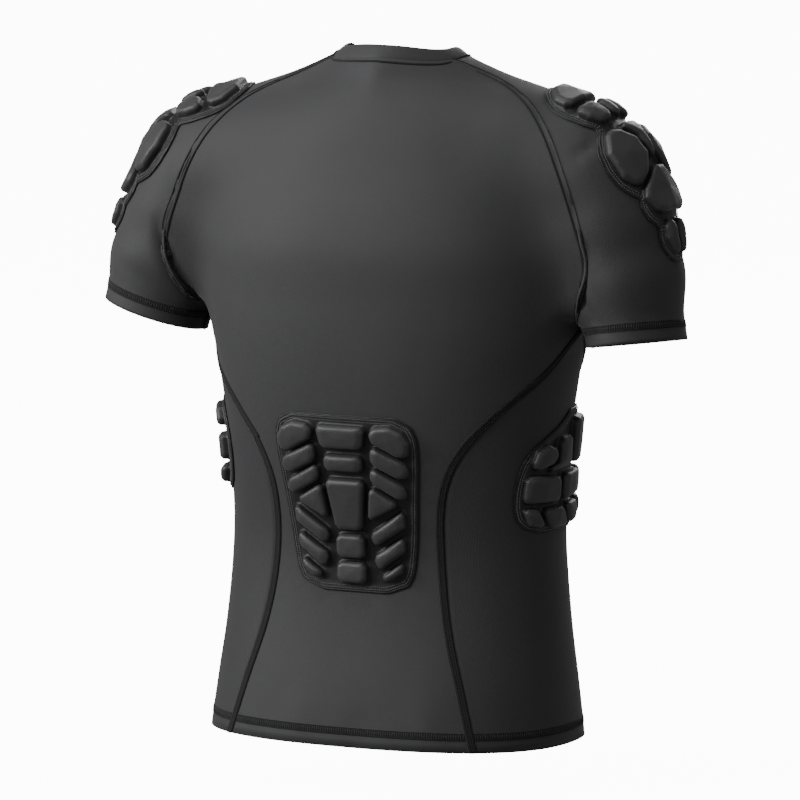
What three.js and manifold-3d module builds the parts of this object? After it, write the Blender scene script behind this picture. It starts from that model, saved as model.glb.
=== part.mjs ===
// Padded compression shirt: a short-sleeved raglan shirt that keeps its worn, hollow form.
// Millimetres, +Z up, the front faces -Y, the wearer's left is +X.
// The origin is the middle of the neck opening, level with the tops of the shoulders.
import * as THREE from 'three';
import { mergeVertices } from 'three/addons/utils/BufferGeometryUtils.js';
import Module from 'manifold-3d';

const wasm = await Module();
wasm.setup();

// Driving dimensions
const clothWall = 1.4;
const collarWall = 2.0;
const collarHeight = 13.5;
const collarLean = 0.3;
const collarStand = 0.25;
const seamGap = 0.32;
const tipGap = 1.5;
const collarCrown = 0.5;
const collarMiddle = -12;
const rayReach = 260;
const hemHeight = -648;
const padLift = 1.15;
const flangeWall = 2.0;
const blockHeight = 10.5;
const blockChamfer = 2.6;
const bluntTurn = Math.cos(THREE.MathUtils.degToRad(58));

// Rows and columns of the panels
const sideRows = 14;
const raglanRows = 15;
const cuffRows = 2;
const backColumns = 16;
const frontColumns = 12;
const sideColumns = 7;
const sleeveColumns = 20;
const collarColumns = 44;

const clothGrey = { color: 0x3f4043, roughness: 0.75, metalness: 0 };
const sideGrey = { color: 0x393a3d, roughness: 0.75, metalness: 0 };
const padGrey = { color: 0x2f3033, roughness: 0.6, metalness: 0 };

// Level sections of the body of the shirt, from the hem up. Depths run from the middle line.
const bodySections = [
  { z: -670, halfWidth: 185, front: 112, back: 124, middle: 0, power: 2.5 },
  { z: -648, halfWidth: 183, front: 112, back: 121, middle: 0, power: 2.5 },
  { z: -600, halfWidth: 178, front: 111, back: 111, middle: 0, power: 2.45 },
  { z: -550, halfWidth: 172, front: 109, back: 100, middle: 0, power: 2.4 },
  { z: -500, halfWidth: 168, front: 107, back: 92, middle: 0, power: 2.35 },
  { z: -455, halfWidth: 166, front: 106, back: 91, middle: 0, power: 2.3 },
  { z: -400, halfWidth: 167, front: 108, back: 98, middle: 0, power: 2.3 },
  { z: -350, halfWidth: 171, front: 112, back: 105, middle: 0, power: 2.3 },
  { z: -300, halfWidth: 179, front: 116, back: 110, middle: 0, power: 2.3 },
  { z: -260, halfWidth: 187, front: 118, back: 112, middle: 0, power: 2.3 },
  { z: -220, halfWidth: 191, front: 117, back: 112, middle: 0, power: 2.3 },
  { z: -180, halfWidth: 192, front: 113, back: 111, middle: -1, power: 2.3 },
  { z: -140, halfWidth: 191, front: 104, back: 102, middle: -3, power: 2.25 },
  { z: -100, halfWidth: 188, front: 92, back: 90, middle: -5, power: 2.15 },
  { z: -70, halfWidth: 181, front: 76, back: 81, middle: -7, power: 2.0 },
  { z: -50, halfWidth: 169, front: 64, back: 73, middle: -8, power: 1.85 },
  { z: -34, halfWidth: 149, front: 54, back: 65, middle: -9, power: 1.6 },
  { z: -20, halfWidth: 116, front: 44, back: 58, middle: -10, power: 1.4 },
  { z: -6, halfWidth: 80, front: 35, back: 51, middle: -11, power: 1.45 },
  { z: 2, halfWidth: 60, front: 28, back: 44, middle: -12, power: 1.6 },
  { z: 14, halfWidth: 34, front: 16, back: 26, middle: -12, power: 1.7 },
];

// Middle and size of the left sleeve, from inside the shoulder to past the cuff
const armSections = [
  { x: 148, y: -6, z: -92, radius: 55 },
  { x: 184, y: -5, z: -101, radius: 58.5 },
  { x: 203, y: -4, z: -117, radius: 60 },
  { x: 220, y: -3, z: -154, radius: 60 },
  { x: 240, y: 0, z: -205, radius: 55.5 },
  { x: 254, y: 4, z: -264, radius: 47.5 },
  { x: 264, y: 6, z: -310, radius: 43 },
];

// Seams of the left half, each from its lower end up; the form sets their exact depth
const backSideSeam = [
  { x: 132, y: 110, z: -648, leftShift: 8 },
  { x: 117, y: 106, z: -596, leftShift: 7 },
  { x: 97.5, y: 96, z: -538, leftShift: 5 },
  { x: 88, y: 91, z: -480, leftShift: 4 },
  { x: 88.5, y: 95, z: -420, leftShift: 3 },
  { x: 100, y: 94, z: -380, leftShift: 2 },
  { x: 114, y: 88, z: -358, leftShift: 1 },
  { x: 143, y: 74, z: -327, leftShift: 0 },
  { x: 162, y: 52, z: -305, leftShift: 0 },
  { x: 180, y: 26, z: -280, leftShift: 0 },
  { x: 195, y: 0.7, z: -251, leftShift: 0 },
];
const frontSideSeam = [
  { x: 141, y: -96, z: -648 },
  { x: 130, y: -96, z: -550 },
  { x: 118, y: -93, z: -455 },
  { x: 128, y: -92, z: -385 },
  { x: 152, y: -76, z: -325 },
  { x: 176, y: -44, z: -283 },
  { x: 195, y: -0.7, z: -251 },
];
const backRaglanSeam = [
  { x: 195, y: 0.7, z: -251 },
  { x: 205, y: 22, z: -240 },
  { x: 217, y: 46, z: -214 },
  { x: 220, y: 61, z: -177 },
  { x: 210, y: 62, z: -139 },
  { x: 197, y: 59, z: -103 },
  { x: 179, y: 45, z: -73 },
  { x: 147, y: 24, z: -47 },
  { x: 104, y: 6, z: -21 },
  { x: 64, y: 12, z: 0 },
];
const frontRaglanSeam = [
  { x: 195, y: -0.7, z: -251 },
  { x: 205, y: -24, z: -238 },
  { x: 210, y: -46, z: -206 },
  { x: 198, y: -62, z: -165 },
  { x: 178, y: -66, z: -125 },
  { x: 150, y: -60, z: -85 },
  { x: 110, y: -46, z: -44 },
  { x: 61, y: -38, z: -14 },
];
const neckLine = [
  { x: 0, y: 47, z: -1.5 },
  { x: 28, y: 42, z: -0.5 },
  { x: 51, y: 29, z: 0 },
  { x: 64, y: 12, z: 0 },
  { x: 68, y: -12, z: -1 },
  { x: 61, y: -38, z: -14 },
  { x: 41, y: -63, z: -40 },
  { x: 0, y: -76, z: -54 },
];
const neckBackCorner = 3;
const neckFrontCorner = 5;

// The top ridge of the left sleeve and the points inside it that its rows turn around
const sleeveRidge = [
  { x: 68, y: -12, z: -1 },
  { x: 100, y: -11, z: -11 },
  { x: 150, y: -8, z: -31 },
  { x: 207, y: -6, z: -50 },
  { x: 262, y: -3, z: -98 },
  { x: 291, y: -1, z: -152 },
  { x: 301, y: 2, z: -205 },
  { x: 306, y: 5, z: -252 },
];
const sleeveMiddle = [
  { x: 45, y: -12, z: -42 },
  { x: 85, y: -10, z: -58 },
  { x: 130, y: -8, z: -80 },
  { x: 175, y: -6, z: -104 },
  { x: 206, y: -4, z: -130 },
  { x: 226, y: -2, z: -170 },
  { x: 241, y: 1, z: -218 },
  { x: 255, y: 4, z: -263 },
];
const underarmTop = { x: 196.5, y: 0, z: -251.5 };
const leftCuff = { x: 205.5, y: 4, innerHeight: -276, outerHeight: -246 };
const rightCuff = { x: 205.5, y: 4, innerHeight: -270, outerHeight: -256 };
const cuffBackLift = 0.1;

// On the left the rib pad sits higher and the shoulder pad further round to the back
const leftRibLift = 22;
const leftPadTurn = 12;

// Shared mathematics

function mix(from, to, share) {
  return from + (to - from) * share;
}

function smoothStep(value, low, high) {
  const share = Math.min(1, Math.max(0, (value - low) / (high - low)));
  return share * share * (3 - 2 * share);
}

function point(row) {
  return new THREE.Vector3(row.x, row.y, row.z);
}

// Smooth values of a table's columns, between rows sorted by rising key
function lookUp(rows, key, value) {
  const last = rows.length - 1;
  let index = 0;
  while (index < last - 1 && value > rows[index + 1][key]) index += 1;
  const before = rows[Math.max(0, index - 1)];
  const low = rows[index];
  const high = rows[index + 1];
  const after = rows[Math.min(last, index + 2)];
  const step = high[key] - low[key];
  const t = Math.min(1, Math.max(0, (value - low[key]) / step));
  const found = {};
  for (const column of Object.keys(low)) {
    if (column === key) continue;
    const slopeLow = ((high[column] - before[column]) / (high[key] - before[key])) * step;
    const slopeHigh = ((after[column] - low[column]) / (after[key] - low[key])) * step;
    const t2 = t * t;
    const t3 = t2 * t;
    found[column] =
      (2 * t3 - 3 * t2 + 1) * low[column] +
      (t3 - 2 * t2 + t) * slopeLow +
      (3 * t2 - 2 * t3) * high[column] +
      (t3 - t2) * slopeHigh;
  }
  return found;
}

function smoothMinimum(a, b, reach) {
  const share = Math.max(reach - Math.abs(a - b), 0) / reach;
  return Math.min(a, b) - (share * share * reach) / 4;
}

// The form: negative inside the shirt, zero on its outer face

function bodyField(x, y, z) {
  const section = lookUp(bodySections, 'z', z);
  const depth = y - section.middle;
  const across = Math.abs(x) / section.halfWidth;
  const half = depth > 0 ? section.back - section.middle : section.front + section.middle;
  const along = Math.abs(depth) / half;
  const sum = Math.pow(across, section.power) + Math.pow(along, section.power);
  const ratio = Math.pow(sum, 1 / section.power);
  const reach = Math.hypot(x, depth);
  return ratio < 0.05 ? -section.halfWidth / 2 : reach * (1 - 1 / ratio);
}

function armField(x, y, z) {
  let field = 1e6;
  for (let i = 0; i + 1 < armSections.length; i += 1) {
    const a = armSections[i];
    const b = armSections[i + 1];
    const run = { x: b.x - a.x, y: b.y - a.y, z: b.z - a.z };
    const span = run.x * run.x + run.y * run.y + run.z * run.z;
    const dot = (Math.abs(x) - a.x) * run.x + (y - a.y) * run.y + (z - a.z) * run.z;
    const share = Math.min(1, Math.max(0, dot / span));
    const dx = Math.abs(x) - mix(a.x, b.x, share);
    const dy = y - mix(a.y, b.y, share);
    const dz = z - mix(a.z, b.z, share);
    field = smoothMinimum(field, Math.hypot(dx, dy, dz) - mix(a.radius, b.radius, share), 8);
  }
  return field;
}

// The sleeve runs softly into the body, but for a tight fold under the arm
function formField(x, y, z) {
  const above = smoothStep(z, -245, -185);
  const beside = smoothStep(Math.abs(y), 12, 45) * smoothStep(z, -290, -250);
  const reach = mix(14, 46, Math.max(above, beside));
  return smoothMinimum(bodyField(x, y, z), armField(x, y, z), reach);
}

function slopeAt(p) {
  const step = 0.5;
  return new THREE.Vector3(
    formField(p.x + step, p.y, p.z) - formField(p.x - step, p.y, p.z),
    formField(p.x, p.y + step, p.z) - formField(p.x, p.y - step, p.z),
    formField(p.x, p.y, p.z + step) - formField(p.x, p.y, p.z - step),
  ).divideScalar(2 * step);
}

function normalAt(p) {
  return slopeAt(p).normalize();
}

// The nearest point of the form
function snap(p, rounds = 8) {
  const found = p.clone();
  for (let i = 0; i < rounds; i += 1) {
    const slope = slopeAt(found);
    const field = formField(found.x, found.y, found.z);
    const move = -field / Math.max(slope.lengthSq(), 0.04);
    found.addScaledVector(slope, Math.min(20, Math.max(-20, move)));
  }
  return found;
}

// The first point of the form along a ray that starts outside it, or inside it and goes out
function castRay(origin, direction) {
  const field = (t) =>
    formField(origin.x + direction.x * t, origin.y + direction.y * t, origin.z + direction.z * t);
  const startsInside = field(0) < 0;
  const step = 3;
  let far = step;
  while (far < rayReach && field(far) < 0 === startsInside) far += step;
  let near = far - step;
  for (let i = 0; i < 22; i += 1) {
    const middle = (near + far) / 2;
    if (field(middle) < 0 === startsInside) near = middle;
    else far = middle;
  }
  return origin.clone().addScaledVector(direction, (near + far) / 2);
}

// Seams and panels

function curveThrough(rows) {
  return new THREE.CatmullRomCurve3(rows.map(point), false, 'centripetal');
}

function seamPoints(rows, count) {
  const curve = curveThrough(rows);
  curve.arcLengthDivisions = 400;
  return Array.from({ length: count + 1 }, (_, i) => snap(curve.getPointAt(i / count)));
}

const backSide = {
  left: seamPoints(backSideSeam.map((row) => ({ ...row, x: row.x + row.leftShift })), sideRows),
  right: seamPoints(backSideSeam, sideRows),
};
const frontSide = seamPoints(frontSideSeam, sideRows);
const backRaglan = seamPoints(backRaglanSeam, raglanRows);
const frontRaglan = seamPoints(frontRaglanSeam, raglanRows);
for (const seam of [backSide.left, backSide.right, frontSide]) seam[0].z = hemHeight;

const neckRing = [
  ...neckLine,
  ...neckLine.slice(1, -1).reverse().map((row) => ({ ...row, x: -row.x })),
];
const neckCurve = new THREE.CatmullRomCurve3(neckRing.map(point), true, 'centripetal');

// A point of the neck seam; the share runs from one row of the neck table to another
function neckPoint(row) {
  const count = neckRing.length;
  return snap(neckCurve.getPoint((((row % count) + count) % count) / count));
}

backRaglan[raglanRows] = neckPoint(neckBackCorner);
frontRaglan[raglanRows] = neckPoint(neckFrontCorner);

// Evens a grid's inner points out over the form; its border stays
function relax(grid, rounds) {
  for (let round = 0; round < rounds; round += 1) {
    for (let i = 1; i + 1 < grid.length; i += 1) {
      for (let j = 1; j + 1 < grid[i].length; j += 1) {
        const middle = grid[i - 1][j].clone();
        middle.add(grid[i + 1][j]).add(grid[i][j - 1]).add(grid[i][j + 1]).multiplyScalar(0.25);
        grid[i][j] = snap(middle, 3);
      }
    }
  }
  return grid;
}

// Draws the chosen borders in by half the seam gap, so that neighbours stay apart
function drawIn(grid, sides) {
  const rows = grid.length - 1;
  const columns = grid[0].length - 1;
  const column = (j) => grid.map((row) => row[j]);
  const borders = {
    first: { edge: column(0), inner: column(1) },
    last: { edge: column(columns), inner: column(columns - 1) },
    low: { edge: grid[0], inner: grid[1] },
    high: { edge: grid[rows], inner: grid[rows - 1] },
  };
  const moves = sides.flatMap((side) => {
    const { edge, inner } = borders[side];
    const inward = edge.map((p, k) => {
      const along = edge[Math.min(edge.length - 1, k + 1)].clone().sub(edge[Math.max(0, k - 1)]);
      return along.cross(normalAt(p)).normalize();
    });
    const votes = inward.map((v, k) => Math.sign(v.dot(inner[k].clone().sub(edge[k]))));
    const way = Math.sign(votes.reduce((sum, vote) => sum + vote, 0));
    return edge.map((p, k) => [p, inward[k].multiplyScalar((way * seamGap) / 2)]);
  });
  for (const [place, move] of moves) place.add(move);
  return grid;
}

// A closed wall between an outer and an inner grid of points. Neighbours share a seam's points,
// and the edge faces are split the same way on both, so rows that run the other way are turned.
function wallFromGrids(outer, inner, turned = false) {
  const rows = outer.length - 1;
  const columns = outer[0].length - 1;
  const width = columns + 1;
  const positions = [...outer.flat(), ...inner.flat()].flatMap((p) => [p.x, p.y, p.z]);
  const half = (rows + 1) * width;
  const faces = [];
  const quad = (a, b, c, d) => faces.push(a, b, c, a, c, d);
  const at = (i, j) => i * width + j;
  for (let i = 0; i < rows; i += 1) {
    for (let j = 0; j < columns; j += 1) {
      quad(at(i, j), at(i, j + 1), at(i + 1, j + 1), at(i + 1, j));
      quad(half + at(i, j), half + at(i + 1, j), half + at(i + 1, j + 1), half + at(i, j + 1));
    }
  }
  for (let i = 0; i < rows; i += 1) {
    const first = [at(i, 0), at(i + 1, 0), half + at(i + 1, 0), half + at(i, 0)];
    const last = [at(i, columns), half + at(i, columns)];
    last.push(half + at(i + 1, columns), at(i + 1, columns));
    if (turned) {
      first.push(first.shift());
      last.push(last.shift());
    }
    quad(...first);
    quad(...last);
  }
  for (let j = 0; j < columns; j += 1) {
    quad(at(0, j + 1), at(0, j), half + at(0, j), half + at(0, j + 1));
    quad(at(rows, j), at(rows, j + 1), half + at(rows, j + 1), half + at(rows, j));
  }
  return closedGeometry(positions, faces);
}

function closedGeometry(positions, faces) {
  let volume = 0;
  const corner = (index) => new THREE.Vector3().fromArray(positions, index * 3);
  for (let i = 0; i < faces.length; i += 3) {
    volume += corner(faces[i]).dot(corner(faces[i + 1]).cross(corner(faces[i + 2])));
  }
  if (volume < 0) faces.reverse();
  const geometry = new THREE.BufferGeometry();
  geometry.setAttribute('position', new THREE.Float32BufferAttribute(positions, 3));
  geometry.setIndex(faces);
  return geometry;
}

function wallInward(grid, turned = false) {
  const inner = grid.map((row) => row.map((p) => p.clone().addScaledVector(normalAt(p), -clothWall)));
  return wallFromGrids(grid, inner, turned);
}

// How the worn shirt sits: the left shoulder is lower and both sleeves swing a little to the left
const shoulderDrop = 9;
const sleeveSwing = 5;

function settle(geometry) {
  const place = geometry.attributes.position;
  for (let i = 0; i < place.count; i += 1) {
    const x = place.getX(i);
    const z = place.getZ(i);
    const swing = smoothStep(Math.abs(x), 200, 290) * smoothStep(-z, 110, 250);
    const drop = smoothStep(x, 20, 180) * smoothStep(z, -240, -90);
    place.setX(i, x + sleeveSwing * swing);
    place.setZ(i, z - shoulderDrop * drop);
  }
}

const shirt = new THREE.Group();

function addPiece(name, geometry, looks) {
  settle(geometry);
  geometry.computeVertexNormals();
  const mesh = new THREE.Mesh(geometry, new THREE.MeshStandardMaterial(looks));
  mesh.name = name;
  shirt.add(mesh);
}

function mirrored(grid) {
  return grid.map((row) => row.map((p) => new THREE.Vector3(-p.x, p.y, p.z)));
}

// The front and back panels: level rows from the wearer's right seam to the left one, with
// their points closer to the seams beside the armpits
function bodyPanel({ leftEdge, rightEdge, facing, neckMiddleRow, neckCornerRow, columns }) {
  const top = leftEdge.length - 1;
  const neckRow = (share) => mix(neckMiddleRow, neckCornerRow, Math.abs(share));
  const drop = neckPoint(neckMiddleRow).z - leftEdge[top].z;
  const grid = leftEdge.map((left, i) => {
    const right = rightEdge[i];
    const bend = drop * Math.pow(Math.max(0, (i - sideRows) / raglanRows), 3);
    const crowd = 1 - smoothStep(Math.abs(i - sideRows), 2, 6);
    return Array.from({ length: columns + 1 }, (_, j) => {
      const share = (2 * j) / columns - 1;
      if (i === top) {
        const p = neckPoint(neckRow(share));
        p.x *= Math.sign(share) || 1;
        return p;
      }
      if (j === 0) return new THREE.Vector3(-right.x, right.y, right.z);
      if (j === columns) return left.clone();
      const place = mix(share, Math.sin((Math.PI / 2) * share), crowd);
      const x = (share > 0 ? left.x : right.x) * place;
      const z = mix(right.z, left.z, j / columns) + bend * (1 - share * share);
      return castRay(new THREE.Vector3(x, rayReach * facing, z), new THREE.Vector3(0, -facing, 0));
    });
  });
  for (const p of grid[0]) p.z = hemHeight;
  relax(grid, 4);
  return drawIn(grid, ['first', 'last', 'high']);
}

// A side panel: level rows from the back seam round the side to the front seam
function sidePanel(backSeam, frontSeam) {
  const grid = backSeam.map((back, i) => {
    const front = frontSeam[i];
    const from = Math.atan2(back.y, back.x);
    const to = Math.atan2(front.y, front.x);
    return Array.from({ length: sideColumns + 1 }, (_, j) => {
      if (j === 0) return back.clone();
      if (j === sideColumns) return front.clone();
      const share = j / sideColumns;
      if (i === sideRows) return back.clone().lerp(front, share);
      const angle = mix(from, to, share);
      const origin = new THREE.Vector3(0, 0, mix(back.z, front.z, share));
      return castRay(origin, new THREE.Vector3(Math.cos(angle), Math.sin(angle), 0));
    });
  });
  relax(grid, 10);
  for (const p of grid[sideRows]) p.z -= tipGap;
  return drawIn(grid, ['first', 'last', 'high']);
}

// Directions of one row of the sleeve: outward to its ridge, rearward and along the sleeve
const ridgeCurve = curveThrough(sleeveRidge);
const middleCurve = curveThrough(sleeveMiddle);
const ridgeLength = ridgeCurve.getLength();
const armholeShare = 0.945;

function sleeveFrame(share, ridge = ridgeCurve.getPointAt(share)) {
  const middle = middleCurve.getPointAt(share);
  const outward = ridge.clone().sub(middle);
  const radius = outward.length();
  outward.normalize();
  const rearward = new THREE.Vector3(0, 1, cuffBackLift * smoothStep(share, 0.6, 1));
  rearward.addScaledVector(outward, -rearward.dot(outward)).normalize();
  return { middle, outward, rearward, upward: outward.clone().cross(rearward), radius };
}

// A sleeve: rows from the neck to the cuff, each from the back over the ridge to the front
function sleevePanel(cuff) {
  const rows = [];
  for (let i = 0; i <= raglanRows; i += 1) {
    const back = backRaglan[raglanRows - i];
    const front = frontRaglan[raglanRows - i];
    rows.push({ back, front, share: (armholeShare * i) / raglanRows, drop: 0 });
  }
  for (let i = 1; i <= cuffRows; i += 1) {
    const share = i / cuffRows;
    const under = point(underarmTop).lerp(new THREE.Vector3(cuff.x, cuff.y, cuff.innerHeight), share);
    const apart = new THREE.Vector3(0, 0.02, 0);
    rows.push({
      back: under.clone().add(apart),
      front: under.clone().sub(apart),
      share: mix(armholeShare, 1, share),
      drop: (cuff.outerHeight - sleeveRidge.at(-1).z) * share,
    });
  }
  const grid = rows.map((row, i) => {
    const ridge = ridgeCurve.getPointAt(row.share);
    ridge.z += row.drop;
    const { middle, outward, rearward, upward } = sleeveFrame(row.share, ridge);
    const backArm = row.back.clone().sub(middle);
    const frontArm = row.front.clone().sub(middle);
    const fullTurn = i > raglanRows ? Math.PI - 1e-3 : 0;
    const from = fullTurn || Math.atan2(backArm.dot(rearward), backArm.dot(outward));
    const to = -fullTurn || Math.atan2(frontArm.dot(rearward), frontArm.dot(outward));
    const rise = (arm) => arm.dot(upward) / Math.hypot(arm.dot(outward), arm.dot(rearward));
    return Array.from({ length: sleeveColumns + 1 }, (_, j) => {
      const share = j / sleeveColumns;
      if (i === 0) return neckPoint(mix(neckBackCorner, neckFrontCorner, share));
      if (j === 0) return row.back.clone();
      if (j === sleeveColumns) return row.front.clone();
      const angle = mix(from, to, share);
      const nearEdge = Math.pow(Math.abs(2 * share - 1), 3);
      const climb = nearEdge * rise(share < 0.5 ? backArm : frontArm);
      const direction = outward.clone().multiplyScalar(Math.cos(angle));
      direction.addScaledVector(rearward, Math.sin(angle)).addScaledVector(upward, climb);
      return castRay(middle, direction.normalize());
    });
  });
  relax(grid, 4);
  return drawIn(grid, ['first', 'last', 'low']);
}

// The collar: a closed ring that stands on the neck seam and leans inward
function collarGeometry() {
  const positions = [];
  const faces = [];
  const count = neckRing.length;
  for (let j = 0; j < collarColumns; j += 1) {
    const row = (j / collarColumns) * count;
    const seam = neckPoint(row);
    const tangent = neckPoint(row + 0.05).sub(neckPoint(row - 0.05)).normalize();
    const inward = new THREE.Vector3(-seam.x, collarMiddle - seam.y, 0).normalize();
    const onward = tangent.clone().cross(normalAt(seam)).normalize();
    if (onward.dot(inward) + onward.z < 0) onward.negate();
    const upright = new THREE.Vector3(0, 0, 1).addScaledVector(inward, collarLean);
    const rise = onward.clone().lerp(upright.normalize(), collarStand);
    rise.addScaledVector(tangent, -rise.dot(tangent)).normalize();
    const outward = tangent.clone().cross(rise).normalize();
    if (outward.dot(inward) > 0) outward.negate();
    const base = seam.clone().addScaledVector(onward, seamGap);
    const crown = base.clone().addScaledVector(rise, collarHeight);
    const waist = base.clone().lerp(crown, 0.5).addScaledVector(outward, collarCrown);
    const outer = [base, waist, crown];
    const inner = [crown, waist, base].map((p) => p.clone().addScaledVector(outward, -collarWall));
    for (const p of [...outer, ...inner]) positions.push(p.x, p.y, p.z);
  }
  const sides = 6;
  for (let j = 0; j < collarColumns; j += 1) {
    const next = (j + 1) % collarColumns;
    for (let k = 0; k < sides; k += 1) {
      const a = j * sides + k;
      const b = j * sides + ((k + 1) % sides);
      const c = next * sides + ((k + 1) % sides);
      const d = next * sides + k;
      faces.push(a, b, c, a, c, d);
    }
  }
  return closedGeometry(positions, faces);
}

// Pads: a flat flange with raised blocks, drawn flat and laid on the form

function toManifold(geometry) {
  const bare = geometry.clone();
  bare.deleteAttribute('normal');
  const merged = mergeVertices(bare, 1e-4);
  return new wasm.Manifold(
    new wasm.Mesh({
      numProp: 3,
      vertProperties: new Float32Array(merged.attributes.position.array),
      triVerts: new Uint32Array(merged.index.array),
    }),
  );
}

function fromManifold(solid) {
  const mesh = solid.getMesh();
  const geometry = new THREE.BufferGeometry();
  geometry.setAttribute('position', new THREE.BufferAttribute(mesh.vertProperties, 3));
  geometry.setIndex(new THREE.BufferAttribute(mesh.triVerts, 1));
  return geometry;
}

// An outline with each sharp corner cut to a short round and each long edge halved
function roundedOutline(corners, radius, longest) {
  const outline = [];
  corners.forEach((corner, i) => {
    const before = corners[(i + corners.length - 1) % corners.length];
    const after = corners[(i + 1) % corners.length];
    const back = Math.hypot(before[0] - corner[0], before[1] - corner[1]);
    const ahead = Math.hypot(after[0] - corner[0], after[1] - corner[1]);
    const dotX = (corner[0] - before[0]) * (after[0] - corner[0]);
    const dotY = (corner[1] - before[1]) * (after[1] - corner[1]);
    if ((dotX + dotY) / (back * ahead) > bluntTurn) {
      outline.push(corner);
      return;
    }
    const cutBack = Math.min(radius, back * 0.38) / back;
    const cutAhead = Math.min(radius, ahead * 0.38) / ahead;
    outline.push([mix(corner[0], before[0], cutBack), mix(corner[1], before[1], cutBack)]);
    outline.push([mix(corner[0], after[0], cutAhead), mix(corner[1], after[1], cutAhead)]);
  });
  return outline.flatMap((corner, i) => {
    const after = outline[(i + 1) % outline.length];
    const length = Math.hypot(after[0] - corner[0], after[1] - corner[1]);
    const pieces = Math.ceil(length / longest);
    return Array.from({ length: pieces }, (_, k) => [
      mix(corner[0], after[0], k / pieces),
      mix(corner[1], after[1], k / pieces),
    ]);
  });
}

// One raised block: its outline, a chamfered shoulder and a softly domed top
function blockGeometry(corners, place, { round, longest }) {
  const outline = roundedOutline(corners, round, longest);
  const count = outline.length;
  const middle = [0, 1].map((axis) => outline.reduce((sum, p) => sum + p[axis], 0) / count);
  const reach = Math.min(...outline.map((p) => Math.hypot(p[0] - middle[0], p[1] - middle[1])));
  const foot = padLift + flangeWall * 0.3;
  const top = padLift + blockHeight;
  const inset = Math.min(0.42, blockChamfer / reach);
  const rings = [
    ...(reach > longest / 2 ? [{ shrink: 0.5, height: foot }] : []),
    { shrink: 0, height: foot },
    { shrink: inset * 0.3, height: top - blockChamfer },
    { shrink: inset * 1.2, height: top - 0.4 },
  ];
  const positions = [];
  const faces = [];
  for (const ring of rings) {
    for (const p of outline) {
      const q = place(mix(p[0], middle[0], ring.shrink), mix(p[1], middle[1], ring.shrink), ring.height);
      positions.push(q.x, q.y, q.z);
    }
  }
  for (const height of [top + 0.3, foot]) {
    const q = place(middle[0], middle[1], height);
    positions.push(q.x, q.y, q.z);
  }
  const last = rings.length - 1;
  for (let k = 0; k < count; k += 1) {
    const next = (k + 1) % count;
    for (let r = 0; r < last; r += 1) {
      const a = r * count + k;
      const b = r * count + next;
      faces.push(a, b, b + count, a, b + count, a + count);
    }
    faces.push(last * count + k, last * count + next, rings.length * count);
    faces.push(next, k, rings.length * count + 1);
  }
  return closedGeometry(positions, faces);
}

// The flange: rows across the pad between its two edges
function flangeGeometry(rows, columns, place) {
  const layer = (height) =>
    rows.map((row) =>
      Array.from({ length: columns + 1 }, (_, j) => {
        const share = j / columns;
        return place(mix(row.from[0], row.to[0], share), mix(row.from[1], row.to[1], share), height);
      }),
    );
  return wallFromGrids(layer(padLift + flangeWall), layer(padLift));
}

function padGeometry(flange, blocks, flipped = false) {
  let solid = toManifold(flange);
  for (const block of blocks) solid = solid.add(toManifold(block));
  return fromManifold(flipped ? solid.mirror([1, 0, 0]) : solid);
}

// The tail pad, on the lower back: half the outline and half the blocks, across from its middle
const tailPad = { top: -333, bottom: -503, middleTop: 8, middleBottom: 0, rows: 12, columns: 8 };
const tailEdge = [
  { z: -503, halfWidth: 34 },
  { z: -500, halfWidth: 47 },
  { z: -494, halfWidth: 56 },
  { z: -480, halfWidth: 61.5 },
  { z: -412, halfWidth: 69.5 },
  { z: -360, halfWidth: 75 },
  { z: -345, halfWidth: 71.5 },
  { z: -337, halfWidth: 65 },
  { z: -334, halfWidth: 54 },
];
const tailMiddleBlocks = [
  [[-27, -343], [27, -343], [23, -365], [-23, -365]],
  [[-22, -371], [22, -371], [21, -387], [-21, -387]],
  [[-21, -394], [21, -394], [14, -444], [-14, -444]],
  [[-15, -448], [15, -448], [15, -471], [-15, -471]],
  [[-15.5, -475], [15.5, -475], [15.5, -495], [-15.5, -495]],
];
const tailSideBlocks = [
  [[31, -343], [50, -341], [63, -347], [69, -357], [67, -371], [56, -370], [28, -355]],
  [[29, -360], [60, -374], [67, -379], [65, -391], [55, -391], [27, -377]],
  [[27, -380], [57, -396], [63, -401], [61, -412], [52, -410], [25, -395]],
  [[25, -399], [54, -416], [20, -434]],
  [[58, -420], [58, -437], [24, -460], [19, -447]],
  [[56, -446], [56, -461], [27, -483], [21, -469]],
  [[54, -471], [52, -482], [36, -493], [28, -489]],
];

function onBack(across, z, height) {
  const rise = (z - tailPad.bottom) / (tailPad.top - tailPad.bottom);
  const middle = mix(tailPad.middleBottom, tailPad.middleTop, rise);
  const p = castRay(new THREE.Vector3(across + middle, rayReach, z), new THREE.Vector3(0, -1, 0));
  return p.addScaledVector(normalAt(p), height);
}

// Heights of a pad's rows, closer together towards its rounded ends
function padHeights(edge, count) {
  return Array.from({ length: count + 1 }, (_, i) => {
    const even = 1 - (2 * i) / count;
    const turn = Math.cos((Math.PI * i) / count);
    return mix(edge[0].z, edge.at(-1).z, (1 - mix(turn, even, 0.45)) / 2);
  });
}

function tailPadGeometry() {
  const rows = padHeights(tailEdge, tailPad.rows).map((z) => {
    const { halfWidth } = lookUp(tailEdge, 'z', z);
    return { from: [-halfWidth, z], to: [halfWidth, z] };
  });
  const flip = (corners) => corners.map(([across, z]) => [-across, z]);
  const outlines = [...tailMiddleBlocks, ...tailSideBlocks, ...tailSideBlocks.map(flip)];
  const blocks = outlines.map((corners) => blockGeometry(corners, onBack, { round: 4, longest: 32 }));
  return padGeometry(flangeGeometry(rows, tailPad.columns, onBack), blocks);
}

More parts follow.
